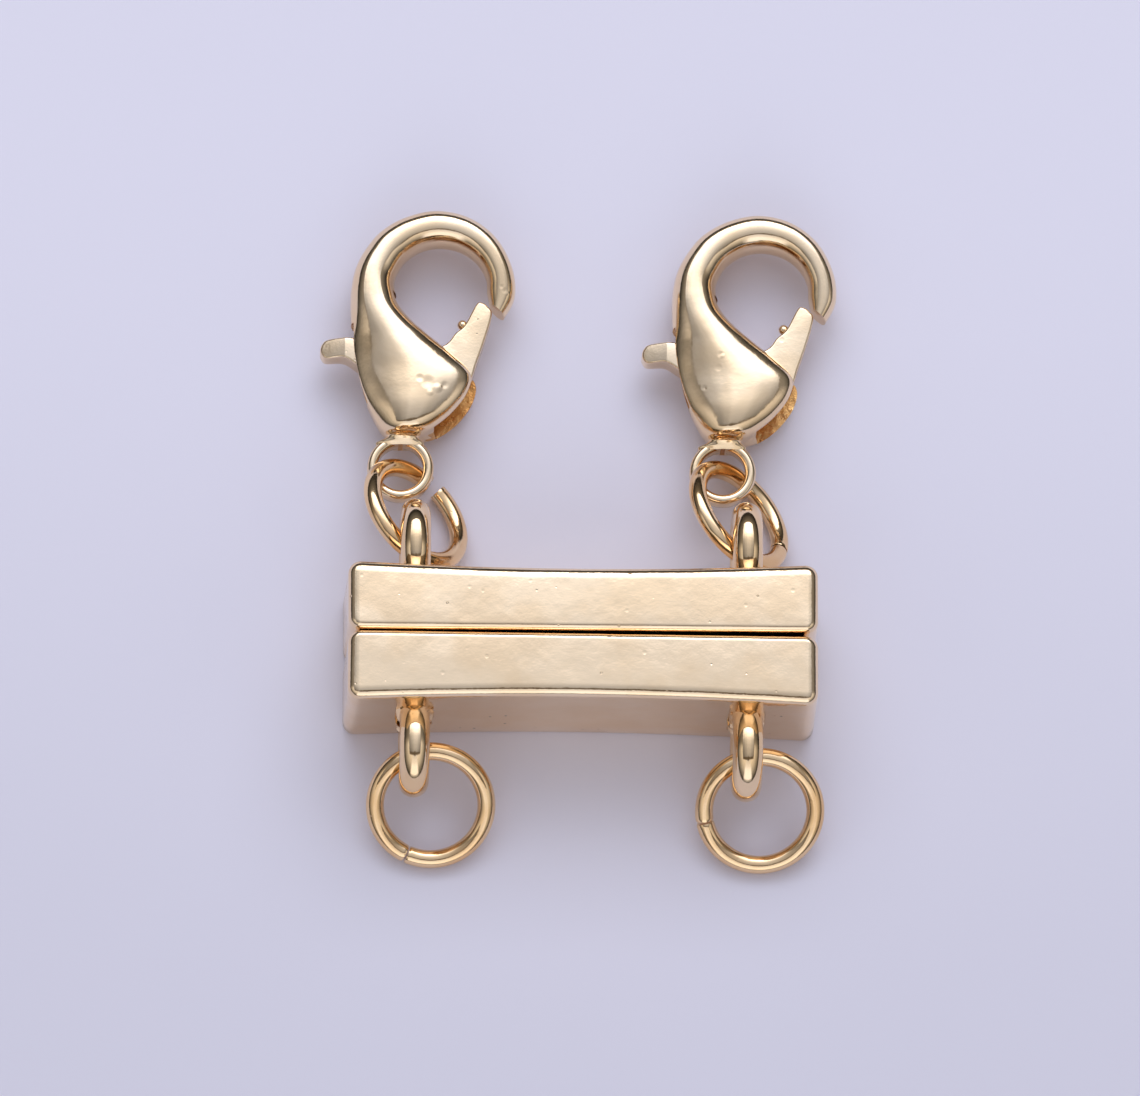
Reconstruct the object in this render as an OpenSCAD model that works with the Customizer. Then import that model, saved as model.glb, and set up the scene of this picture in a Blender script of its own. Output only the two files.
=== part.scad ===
// Two-strand magnetic clasp: two gold-plated bars held by magnets, two lobster
// claws on jump rings behind, two open jump rings in front, all lying flat.
// X runs along the bars, +Y points to the claws, +Z up. Millimetres.
// The origin is the middle of the underside of the upper bar.

/* [Bars] */
// Length of each bar at its base
bar_l = 18.8; // [14:0.1:40]
// Depth of each bar from its mating face to its outer face
bar_d = 2.88; // [2.4:0.02:6]
// Height of the bars
bar_h = 5.8; // [5:0.1:9]
// Radius of the rounded edges round the top
bar_edge = 0.34; // [0.2:0.02:0.5]
// Radius of the rounded edges round the base
bar_foot_edge = 0.22; // [0.1:0.02:0.4]
// Radius of the upright corners in plan
bar_corner = 0.5; // [0.45:0.01:0.9]
// How much each outer side leans in from base to top
bar_draft = 0.1; // [0:0.02:0.3]
// How far the outer long side is drawn in at its middle
bar_waist = 0.22; // [0:0.02:0.3]
// How far the top swells above its edges
bar_crown = 0.05; // [0.02:0.01:0.15]
// Gap between the two bars at the left end of the seam
seam = 0.06; // [0.03:0.01:0.3]
// Angle by which the seam opens towards the right, in degrees
seam_skew = 0.3; // [0:0.05:1]

/* [Magnets] */
// Diameter of each round magnet
magnet_d = 4; // [3:0.1:4.4]
// Thickness of each magnet
magnet_t = 1.5; // [0.8:0.1:1.8]
// Distance of each magnet's middle from the bar's end
magnet_end = 4.4; // [2.8:0.1:6.5]
// Clearance round a magnet in its pocket, and its depth below the mating face
magnet_clear = 0.03; // [0.02:0.01:0.08]

/* [Bar loops] */
// Distance of each soldered loop from the bar's end
loop_end = 2.8; // [1.4:0.1:6]
// Outer diameter of the soldered loops
loop_outer = 4; // [3.8:0.05:4.4]
// Wire diameter of the soldered loops
loop_wire = 1.2; // [1:0.05:1.3]
// Distance of the middle of a loop from the bar's outer face
loop_stand = 1.15; // [1.05:0.05:1.5]
// Height of the middle of the loops
loop_z = 2.8; // [2.4:0.05:3.4]
// How far the solder stands proud round the wire
solder_proud = 0.1; // [0.04:0.01:0.16]
// How far the solder runs up the wire from the bar
solder_run = 0.16; // [0.06:0.02:0.3]

/* [Jump rings] */
// Outer diameter of the jump rings
ring_outer = 5.15; // [4.9:0.05:5.8]
// Wire diameter of the jump rings
ring_wire = 0.72; // [0.6:0.02:0.76]
// Width of the cut in a closed jump ring
ring_split = 0.08; // [0.03:0.01:0.2]
// Width of the cut in the left upper ring, which stands a little open
ring_gape = 0.5; // [0.1:0.05:0.6]
// How far the middle of the left lower ring is from its loop along the bar
left_aside = 0.72; // [0.2:0.02:1]
// How far the middle of the right lower ring is from its loop along the bar
right_aside = 0.6; // [0.2:0.02:1]
// Gap left between a ring's wire and the wall of the hole it pulls against
ring_slack = 0.05; // [0.02:0.01:0.1]
// Gap under the lowest wire where a ring lies on the table
rest_gap = 0.01; // [0.005:0.005:0.03]

/* [Lobster claws] */
// Length of each claw from the eye's end to the top of the hook
claw_l = 12; // [11:0.1:13.5]
// Width of each claw across the hook, without the thumb tab
claw_w = 6.58; // [6:0.02:7.4]
// Thickness of each claw at the belly
claw_t = 3; // [2.7:0.05:3.4]
// How far both claws lie to the left of their loops
claw_left = 0.72; // [0:0.02:1]
// How much nearer together the claws are than their loops, on each side
claw_inward = 0.16; // [0:0.02:0.5]
// Outer diameter of the eye at the end of a claw
eye_outer = 2.66; // [2.4:0.02:2.9]
// Diameter of the hole in the eye
eye_hole = 1.84; // [1.76:0.02:1.9]
// Thickness of the eye
eye_t = 0.85; // [0.7:0.05:0.95]

/* [Levers] */
// Width of the slot between the two cheeks
slot_t = 1.4; // [1:0.05:1.5]
// Clearance between the lever and each cheek
lever_clear = 0.1; // [0.04:0.01:0.15]
// Diameter of the rivet that the lever turns on
rivet_d = 0.9; // [0.7:0.05:1.1]
// Running clearance round the rivet in the lever
rivet_clear = 0.04; // [0.02:0.01:0.08]
// How deep the rivet goes into each cheek; its ends are covered
rivet_seat = 0.5; // [0.3:0.05:0.55]
// Diameter of the small nub on the gate's hook side
nub_d = 0.42; // [0.3:0.02:0.5]
// Height of the nub
nub_h = 0.5; // [0.3:0.05:0.8]

/* [Hidden] */
gold = "#ead3a4";
nickel = "#c8c9cc";
fine = 0.01;                       // keeps cuts from ending on a face
sharp = 0.06;                      // radius left where a corner has been inset away
corner_steps = 4;
edge_steps = 5;
side_steps = 8;

// Bars

upper_mid_y = seam / 2 + bar_d / 2;                 // middle of the upper bar from the seam
outer_face_y = seam / 2 + bar_d;                    // outer face of either bar at its base
magnet_x = bar_l / 2 - magnet_end;
loop_x = bar_l / 2 - loop_end;
loop_y = outer_face_y + loop_stand;
loop_r = loop_outer / 2;
loop_mean = (loop_outer - loop_wire) / 2;
loop_hole_r = loop_r - loop_wire;

// Level of the bar's loft: height, inset from the base outline
function foot_level(i) = let (a = 90 * i / 3)
    [bar_foot_edge * (1 - cos(a)), bar_foot_edge * (1 - sin(a))];
function top_level(i) = let (a = 90 * i / edge_steps)
    [bar_h - bar_edge * (1 - sin(a)), bar_edge * (1 - cos(a))];
bar_levels = concat(
    [for (i = [0:3]) foot_level(i)],
    [for (i = [0:edge_steps]) top_level(i)],
    [[bar_h + bar_crown * 0.7, bar_edge + bar_d * 0.1], [bar_h + bar_crown, bar_edge + bar_d * 0.25]]);

// Corner arcs of one level. The corner's middle stays put until the inset passes its radius.
function corner_arc(cx, cy, turn, inset) =
    let (r = max(bar_corner - inset, sharp), k = max(inset + sharp - bar_corner, 0),
         sx = sign(cx), sy = cy > bar_d / 2 ? 1 : -1)
    [for (i = [0:corner_steps]) let (a = turn + 90 * i / corner_steps)
        [cx - sx * k + r * cos(a), cy - sy * k + r * sin(a)]];

// Outline at one level, seen from above: mating side at y = 0, outer side at y = bar_d
function bar_outline(level) =
    let (z = level[0], inset = level[1], lean = bar_draft * z / bar_h,
         ex = bar_l / 2 - lean - bar_corner, y0 = bar_corner, y1 = bar_d - lean - bar_corner,
         side_y = bar_d - lean - inset)
    [for (p = concat(
        corner_arc(-ex, y0, 180, inset),
        corner_arc(ex, y0, 270, inset),
        corner_arc(ex, y1, 0, inset),
        [for (i = [1:side_steps - 1]) let (x = ex * (1 - 2 * i / side_steps))
            [x, side_y - bar_waist * (1 - pow(x / ex, 2))]],
        corner_arc(-ex, y1, 90, inset))) [p[0], p[1], z]];

// Skin of a loft through equal rings of points, closed at both ends
module loft(rings) {
    n = len(rings[0]);
    m = len(rings);
    points = [for (ring = rings) each ring];
    sides = [for (j = [0:m - 2], i = [0:n - 1]) let (k = (i + 1) % n)
        each [[j * n + i, (j + 1) * n + i, (j + 1) * n + k], [j * n + i, (j + 1) * n + k, j * n + k]]];
    ends = [[for (i = [0:n - 1]) i], [for (i = [n - 1:-1:0]) (m - 1) * n + i]];
    polyhedron(points, concat(sides, ends), convexity = 6);
}

module torus(mean, wire, sweep = 360) {
    rotate_extrude(angle = sweep, $fn = 64)
        translate([mean, 0]) circle(d = wire, $fn = 32);
}

module loop(x, wire) {
    translate([x, bar_d + loop_stand, loop_z]) rotate([0, 90, 0]) torus(loop_mean, wire);
}

module solder(x) {
    intersection() {
        loop(x, loop_wire + 2 * solder_proud);
        translate([x - loop_wire, bar_d - bar_edge - bar_draft, 0])
            cube([2 * loop_wire, bar_edge + bar_draft + solder_run, bar_h]);
    }
}

// One bar with its mating face on y = 0
module bar() {
    difference() {
        union() {
            loft([for (level = bar_levels) bar_outline(level)]);
            difference() {
                for (x = [-loop_x, loop_x]) {
                    loop(x, loop_wire);
                    solder(x);
                }
                translate([-bar_l, -bar_d, -bar_h]) cube([2 * bar_l, bar_d * 1.5, 3 * bar_h]);
            }
        }
        for (x = [-magnet_x, magnet_x])
            translate([x, -fine, bar_h / 2]) rotate([-90, 0, 0])
                cylinder(d = magnet_d + 2 * magnet_clear, h = magnet_t + 2 * magnet_clear + fine, $fn = 64);
    }
}

module magnet(x) {
    translate([x, magnet_clear, bar_h / 2]) rotate([-90, 0, 0])
        cylinder(d = magnet_d, h = magnet_t, $fn = 64);
}

// Places of the two halves, from the half's own frame with its mating face on y = 0
module upper_half() {
    translate([0, seam / 2 - upper_mid_y, 0]) children();
}

module lower_half() {
    translate([-bar_l / 2, -seam / 2 - upper_mid_y, 0]) rotate([0, 0, -seam_skew])
        translate([bar_l / 2, 0, 0]) mirror([0, 1, 0]) children();
}

// Jump rings

ring_mean = (ring_outer - ring_wire) / 2;
function cut_angle(width) = width / ring_mean * 180 / PI;
loop_play = loop_hole_r - ring_wire / 2 - ring_slack;   // how far a ring's wire can move in a loop
eye_play = eye_hole / 2 - ring_wire / 2 - ring_slack;   // and in the eye of a claw

// A ring about its middle, its axis tipped from +Z by tilt towards the angle az. The middle of
// its cut is at the angle cut.
module jump_ring(middle, az, tilt, cut, split) {
    open = cut_angle(split);
    translate(middle) rotate([0, 0, az]) rotate([0, tilt, 0]) rotate([0, 0, cut - az + open / 2])
        torus(ring_mean, ring_wire, 360 - open);
}

// A lower ring lies with its far side on the table and its near side in the loop, at the
// angle pull_at of the hole's wall. aside is how far its middle is from the loop along the bar.
pull_at = 30;
module lower_ring(x, aside, cut) {
    swing = asin(aside / ring_mean);
    cross_z = loop_z - loop_play * cos(pull_at);
    tilt = asin((cross_z - ring_wire / 2 - rest_gap) / (ring_mean * (1 + cos(swing))));
    reach = loop_stand + bar_d + loop_play * sin(pull_at) + ring_mean * cos(swing) * cos(tilt);
    jump_ring([x + aside, reach, ring_wire / 2 + rest_gap + ring_mean * sin(tilt)], 90, tilt, cut,
        ring_split);
}

// An upper ring passes through a loop and through the eye of a claw. It turns
// about the line between those two points by the angle roll.
function unit(v) = v / norm(v);
module upper_ring(loop_point, eye_point, roll, cut, split) {
    chord = eye_point - loop_point;
    along = unit(chord);
    level = unit(cross(along, [0, 0, 1]));
    up = cross(level, along);
    away = level * cos(roll) + up * sin(roll);
    axis = unit(cross(away, along));
    face = axis[2] < 0 ? -axis : axis;
    middle = (loop_point + eye_point) / 2 + away * sqrt(pow(ring_mean, 2) - pow(norm(chord) / 2, 2));
    jump_ring(middle, atan2(face[1], face[0]), acos(face[2]), cut, split);
}

// Lobster claws, in their own frame: middle of the eye at the origin, hook towards +Y

eye_mid = (eye_outer + eye_hole) / 4;               // middle of the eye's wall
claw_reach = claw_l - eye_outer / 2 - eye_mid;      // from the eye's wall to the top of the hook
// A point of the plan: x as a share of the claw's width, y as a share of its reach
function plan(sx, sy) = [sx * claw_w, eye_mid + sy * claw_reach];

// Hook circles: middle x, middle y, radius x, radius y
hook_outer = [0.223, 0.667, 0.474, 0.333];
hook_inner = [0.243, 0.667, 0.284, 0.183];
function on_hook(ring, a) = plan(ring[0] + ring[2] * cos(a), ring[1] + ring[3] * sin(a));
// Sections round the hook: angle, half thickness as a share of claw_t, squareness outside, inside
hook_rows = [
    [-6, 0.250, 2.5, 2.3], [15, 0.285, 2.5, 2.2], [40, 0.315, 2.6, 2.1], [65, 0.335, 2.6, 2.1],
    [90, 0.345, 2.6, 2.1], [114, 0.352, 2.6, 2.1]];
// Sections of the nose and of the back and belly: outer x, outer y, inner x, inner y,
// half thickness, squareness outside, inside, how far the lower cheek stands out on the right
nose_row = [0.630, 0.543, 0.540, 0.597, 0.220, 2.4, 2.4, 0];
belly_rows = [
    [-0.118, 0.912, 0.032, 0.789, 0.360, 2.6, 2.1, 0],
    [-0.212, 0.836, -0.018, 0.735, 0.370, 2.6, 2.1, 0],
    [-0.276, 0.752, -0.038, 0.690, 0.385, 2.6, 2.1, 0],
    [-0.303, 0.664, -0.030, 0.640, 0.400, 2.6, 2.2, 0],
    [-0.308, 0.590, 0.000, 0.575, 0.414, 2.6, 2.4, 0],
    [-0.304, 0.515, 0.075, 0.508, 0.431, 2.6, 2.8, 0],
    [-0.297, 0.440, 0.190, 0.436, 0.448, 2.5, 3.2, 0.004],
    [-0.287, 0.368, 0.318, 0.362, 0.466, 2.4, 3.6, 0.020],
    [-0.268, 0.300, 0.420, 0.288, 0.483, 2.4, 3.8, 0.040],
    [-0.234, 0.225, 0.396, 0.210, 0.499, 2.4, 3.6, 0.056],
    [-0.184, 0.146, 0.300, 0.132, 0.500, 2.4, 3.2, 0.070],
    [-0.132, 0.080, 0.200, 0.072, 0.450, 2.4, 3.0, 0.066],
    [-0.096, 0.046, 0.146, 0.042, 0.372, 2.4, 2.7, 0.050],
    [-0.080, 0.031, 0.112, 0.029, 0.256, 2.4, 2.4, 0.030],
    [-0.100, 0.015, 0.112, 0.013, 0.222, 2.6, 2.6, 0.008],
    [-0.148, -0.006, 0.142, -0.006, 0.190, 3.0, 3.0, 0],
    [-0.143, -0.022, 0.143, -0.022, 0.165, 3.4, 3.4, 0]];
// Where the inside is squarer than this the section is a pair of cheeks, fully so after the span
cheek_square = 2.3;
cheek_span = 0.9;
// A cheek: its bow up to the rim, how sharp the rim is, height of the upright back as a share of
// the half thickness, curve of the slope behind the ridge, how far the lower cheek's back stands in
cheek_bow = 0.6;
cheek_rim = 20;
back_upright = 0.46;
back_curve = [1.6, 0.75];
lower_in = 0.15;

function plan_row(row) = concat(plan(row[0], row[1]), plan(row[2], row[3]),
    [row[4] * claw_t, row[5], row[6], row[7] * claw_w]);
function hook_row(row) = concat(on_hook(hook_outer, row[0]), on_hook(hook_inner, row[0]),
    [row[1] * claw_t, row[2], row[3], 0]);
claw_rows = concat([plan_row(nose_row)], [for (row = hook_rows) hook_row(row)],
    [for (row = belly_rows) plan_row(row)]);

// A smooth curve through the rows, three steps to a row
row_steps = 3;
function between(a, b, c, d, t) = (2 * b + (c - a) * t + (2 * a - 5 * b + 4 * c - d) * t * t
    + (3 * b - a - 3 * c + d) * t * t * t) / 2;
function smooth(rows) = let (last = len(rows) - 1)
    concat([for (i = [0:last - 1], j = [0:row_steps - 1])
        between(rows[max(i - 1, 0)], rows[i], rows[i + 1], rows[min(i + 2, last)], j / row_steps)],
    [rows[last]]);

// Points of one section: a rounded closed curve standing on the line from inner to outer
section_points = 28;
function power(v, p) = sign(v) * pow(abs(v), 2 / p);
// Height of a cheek across its width, from the ridge (0) to the rim or to the back (1)
function inside(t) = sqrt(1 - cheek_bow * t * t) * pow(max(0, 1 - pow(t, cheek_rim)), 1 / 6);
function outside(t) = t > 0.999 ? 0
    : back_upright + (1 - back_upright) * pow(1 - pow(t, back_curve[0]), back_curve[1]);
function section(row) =
    let (mid = [row[0] + row[2], row[1] + row[3]] / 2, half = [row[0] - row[2], row[1] - row[3]] / 2)
    [for (i = [0:section_points - 1])
        let (a = -360 * i / section_points, square = cos(a) > 0 ? row[5] : row[6],
            c = power(cos(a), square), round_s = power(sin(a), square),
            cheek = max(0, min(1, (row[6] - cheek_square) / cheek_span)),
            shaped_s = sign(round_s) * (c < 0 ? inside(-c) : outside(c)),
            s = round_s + (shaped_s - round_s) * cheek,
            lower = min(1, 2 * max(0, -s)),
            shift = lower * (row[7] * max(0, -c) + lower_in * cheek * max(0, c)),
            p = mid + half * c - unit(half) * shift)
        [p[0], p[1], row[4] * s]];

// The slot between the cheeks: open to the hook, to the thumb side and along the right
slot_plan = [[-0.070, 0.650], [-0.160, 0.590], [-0.222, 0.500], [-0.500, 0.492], [-0.500, 0.190],
    [-0.180, 0.150], [-0.050, 0.098], [0.120, 0.075], [0.190, 0.020], [0.600, 0.020],
    [0.600, 0.440], [0.300, 0.480], [0.030, 0.610]];
pivot_plan = [0.106, 0.200];
nub_plan = [0.378, 0.522];
// Outline of the lever: gate, right side, hub side, thumb tab
lever_plan = [[0.458, 0.588], [0.500, 0.594], [0.535, 0.584], [0.556, 0.560], [0.505, 0.425],
    [0.456, 0.325], [0.425, 0.262], [0.330, 0.175], [0.210, 0.118], [0.080, 0.112],
    [-0.040, 0.170], [-0.160, 0.262], [-0.275, 0.322], [-0.350, 0.352], [-0.450, 0.352],
    [-0.480, 0.366], [-0.490, 0.390], [-0.478, 0.416], [-0.440, 0.434], [-0.310, 0.438],
    [-0.190, 0.420], [0.020, 0.385], [0.250, 0.405], [0.330, 0.460], [0.390, 0.500]];
function plan_points(rows) = [for (row = rows) plan(row[0], row[1])];
pivot = plan(pivot_plan[0], pivot_plan[1]);
rivet_l = slot_t + 2 * rivet_seat;

module eye() {
    wall = (eye_outer - eye_hole) / 2;
    rotate_extrude($fn = 64) {
        translate([eye_hole / 2, -eye_t / 2 + wall / 2]) square([wall, eye_t - wall]);
        for (side = [-1, 1])
            translate([eye_mid, side * (eye_t - wall) / 2]) circle(d = wall, $fn = 24);
    }
}

module claw_body() {
    difference() {
        union() {
            loft([for (row = smooth(claw_rows)) section(row)]);
            eye();
        }
        translate([0, 0, -slot_t / 2]) linear_extrude(slot_t) polygon(plan_points(slot_plan));
        translate([pivot[0], pivot[1], -rivet_l / 2 - fine])
            cylinder(d = rivet_d + 2 * fine, h = rivet_l + 2 * fine, $fn = 48);
        cylinder(d = eye_hole, h = 2 * claw_t, center = true, $fn = 64);
    }
}

module claw_lever() {
    thick = slot_t - 2 * lever_clear;
    difference() {
        translate([0, 0, -thick / 2]) union() {
            linear_extrude(thick) polygon(plan_points(lever_plan));
            translate(plan(nub_plan[0], nub_plan[1])) cylinder(d = nub_d, h = nub_h, $fn = 24);
        }
        translate([pivot[0], pivot[1], -thick])
            cylinder(d = rivet_d + 2 * rivet_clear, h = 2 * thick, $fn = 48);
    }
}

module claw_rivet() {
    translate([pivot[0], pivot[1], -rivet_l / 2]) cylinder(d = rivet_d, h = rivet_l, $fn = 48);
}

// The rings behind the upper bar: place in the loop (y, z) and in the eye (x, y) as shares of
// the play there, chord as a share of the ring, roll, angle of the cut, its width
upper_rings = [
    [[-0.7, 0.66], [-0.23, 0.135], 0.974, -42, 56, ring_gape],
    [[-0.8, 0.445], [-0.11, 0.31], 0.992, -46, -26, ring_split]];
// The rings in front of the lower bar: distance along the bar from the loop, angle of the cut
lower_rings = [[left_aside, 115], [right_aside, 168]];
function ring_row(side) = upper_rings[side < 0 ? 0 : 1];
function in_loop(side) = let (at = ring_row(side)[0])
    [side * loop_x, loop_y + at[0] * loop_play, loop_z + at[1] * loop_play];

// The claws hang from their rings, so the eye's distance follows from the ring's chord
function claw_eye(side) =
    let (from = in_loop(side), at = ring_row(side)[1] * eye_play,
         x = side * (loop_x - claw_inward) - claw_left, z = claw_t / 2,
         chord = ring_row(side)[2] * 2 * ring_mean)
    [x, from[1] + sqrt(pow(chord, 2) - pow(x + at[0] - from[0], 2) - pow(z - from[2], 2)) - at[1], z];
function in_eye(side) = claw_eye(side) + concat(ring_row(side)[1] * eye_play, [0]);
module at_claw(side) {
    translate(claw_eye(side) - [0, upper_mid_y, 0]) children();
}

module upper_bar() color(gold) upper_half() bar();
module lower_bar() color(gold) lower_half() bar();
module upper_magnet(side) color(nickel) upper_half() magnet(side * magnet_x);
module lower_magnet(side) color(nickel) lower_half() magnet(side * magnet_x);
module claw_body_at(side) color(gold) at_claw(side) claw_body();
module claw_lever_at(side) color(gold) at_claw(side) claw_lever();
module claw_rivet_at(side) color(gold) at_claw(side) claw_rivet();
module lower_ring_at(side) color(gold) let (row = lower_rings[side < 0 ? 0 : 1])
    lower_half() lower_ring(side * loop_x, row[0], row[1]);
module upper_ring_at(side) color(gold) let (row = ring_row(side)) translate([0, -upper_mid_y, 0])
    upper_ring(in_loop(side), in_eye(side), row[3], row[4], row[5]);

upper_bar();
lower_bar();
upper_magnet(-1);  // upper_magnet_left
upper_magnet(1);  // upper_magnet_right
lower_magnet(-1);  // lower_magnet_left
lower_magnet(1);  // lower_magnet_right
claw_body_at(-1);  // claw_body_left
claw_body_at(1);  // claw_body_right
claw_lever_at(-1);  // claw_lever_left
claw_lever_at(1);  // claw_lever_right
claw_rivet_at(-1);  // claw_rivet_left
claw_rivet_at(1);  // claw_rivet_right
upper_ring_at(-1);  // upper_ring_left
upper_ring_at(1);  // upper_ring_right
lower_ring_at(-1);  // lower_ring_left
lower_ring_at(1);  // lower_ring_right
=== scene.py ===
import math
import bpy
import bmesh
from mathutils import Matrix, Vector, noise


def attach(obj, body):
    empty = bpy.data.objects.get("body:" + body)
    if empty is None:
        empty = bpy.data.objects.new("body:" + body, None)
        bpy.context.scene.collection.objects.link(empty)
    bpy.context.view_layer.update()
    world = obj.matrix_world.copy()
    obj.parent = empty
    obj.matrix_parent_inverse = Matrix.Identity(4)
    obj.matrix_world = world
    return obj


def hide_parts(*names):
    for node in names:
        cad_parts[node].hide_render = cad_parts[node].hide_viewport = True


# Two-strand magnetic clasp on a pale table: polished pale gold bars, loops, jump rings and lobster claws.
# Sizes are in millimetres until a mesh is made, then metres.
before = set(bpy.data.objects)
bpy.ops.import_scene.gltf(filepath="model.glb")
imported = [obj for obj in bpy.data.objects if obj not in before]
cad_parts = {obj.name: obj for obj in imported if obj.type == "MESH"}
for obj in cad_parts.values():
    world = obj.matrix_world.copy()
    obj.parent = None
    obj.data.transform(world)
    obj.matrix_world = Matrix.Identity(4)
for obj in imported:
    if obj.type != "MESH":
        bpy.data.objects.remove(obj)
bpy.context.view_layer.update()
scene = bpy.context.scene
mm = 0.001
print("frame loaded with", len(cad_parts), "nodes")


# Small helpers for node trees

def addNode(tree, kind, **settings):
    node = tree.nodes.new(kind)
    for name, value in settings.items():
        setattr(node, name, value)
    return node


def plug(tree, value, socket):
    if isinstance(value, bpy.types.NodeSocket):
        tree.links.new(value, socket)
    else:
        socket.default_value = value


def calc(tree, operation, *values):
    node = addNode(tree, "ShaderNodeMath", operation=operation)
    for i, value in enumerate(values):
        plug(tree, value, node.inputs[i])
    return node.outputs[0]


def ease(tree, value, low, high, outLow=0.0, outHigh=1.0):  # smooth step from low to high
    node = addNode(tree, "ShaderNodeMapRange", interpolation_type="SMOOTHSTEP")
    plug(tree, value, node.inputs["Value"])
    for name, number in (("From Min", low), ("From Max", high), ("To Min", outLow), ("To Max", outHigh)):
        node.inputs[name].default_value = number
    return node.outputs["Result"]


def blendColour(tree, factor, first, second):
    node = addNode(tree, "ShaderNodeMix", data_type="RGBA")
    plug(tree, factor, node.inputs[0])
    plug(tree, first, node.inputs[6])
    plug(tree, second, node.inputs[7])
    return node.outputs[2]


# Camera at the photograph's viewing angle
camera = {
    "right": (0.9993, 0.0, 0.038), "up": (0.0, 0.966, 0.258),
    "target": (-0.32, 3.44, 0.0), "distance": 600.0, "frameWidth": 45.6,
}


def makeCamera():
    right = Vector(camera["right"]).normalized()
    up = Vector(camera["up"])
    up = (up - right * up.dot(right)).normalized()
    back = right.cross(up)
    data = bpy.data.cameras.new("photoCamera")
    data.sensor_width = 36.0
    data.lens = 36.0 * camera["distance"] / camera["frameWidth"]
    data.clip_start, data.clip_end = 0.01, 20.0
    holder = bpy.data.objects.new("photoCamera", data)
    scene.collection.objects.link(holder)
    place = (Vector(camera["target"]) + back * camera["distance"]) * mm
    holder.matrix_world = Matrix.Translation(place) @ Matrix((right, up, back)).transposed().to_4x4()
    scene.camera = holder


makeCamera()

# Studio: a soft box overhead that is brightest towards the back, a thin dark gap round it,
# cream walls that fall off to a dark line at the horizon, and a pale table whose colour holds painted shade,
# darker towards the front
studio = {
    "boxHalfWidth": 0.92, "boxFront": -0.46, "boxBack": 1.6, "boxEdge": 0.05,
    "gapSides": 0.05, "gapFront": 0.15,
    "boxLevels": ((-0.5, 0.42), (-0.2, 0.56), (0.0, 0.68), (0.2, 0.85),
                  (0.34, 1.1), (0.47, 1.7), (0.8, 3.2), (1.6, 3.6)),
    "boxSides": ((0.0, 1.0), (0.15, 1.0), (0.45, 0.76), (0.8, 0.50), (1.05, 0.44)), "boxMiddle": 0.1,
    "boxColour": (0.96, 1.02, 1.17, 1), "gapLevel": 0.13, "gapColour": (1.0, 0.86, 0.72, 1),
    "wallLevels": ((0.0, 0.05), (0.12, 0.1), (0.28, 0.28), (0.45, 0.52), (0.6, 0.74), (0.74, 0.9)),
    "wallColour": (1.0, 0.985, 0.98, 1), "backFrom": -0.1, "backTo": 0.28, "backShare": 0.34,
    "windowLevels": ((0.0, 0.15), (0.08, 0.4), (0.2, 1.3), (0.5, 1.3), (0.68, 1.02), (0.8, 0.86)),
    "windowColour": (0.97, 1.0, 1.1, 1), "windowFrom": -0.95, "windowTo": -0.85,
    "shadePlace": (0.0, -0.57), "shadeSize": (0.17, 0.12), "shadeEdge": (0.7, 1.5),
    # the table's colours, then a painted shade that darkens the table towards the front
    "tableColour": (0.875, 0.835, 0.935, 1), "tableColour2": (0.895, 0.85, 0.95, 1), "tablePaintedShade": 0.86,
    "tableShadeFrom": -0.022, "tableShadeTo": 0.026, "tableReach": 1.2,
}


def levels(tree, value, rows):  # a curve through (value, level) rows, as a colour ramp
    low, high = rows[0][0], rows[-1][0]
    ramp = addNode(tree, "ShaderNodeValToRGB")
    ramp.color_ramp.interpolation = "EASE"
    stops = ramp.color_ramp.elements
    while len(stops) < len(rows):
        stops.new(0.5)
    for stop, (place, level) in zip(stops, rows):
        stop.position = (place - low) / (high - low)
    for stop, (place, level) in zip(stops, rows):
        stop.color = (level, level, level, 1)
    plug(tree, calc(tree, "DIVIDE", calc(tree, "SUBTRACT", value, low), high - low), ramp.inputs[0])
    return ramp.outputs[0]


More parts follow.
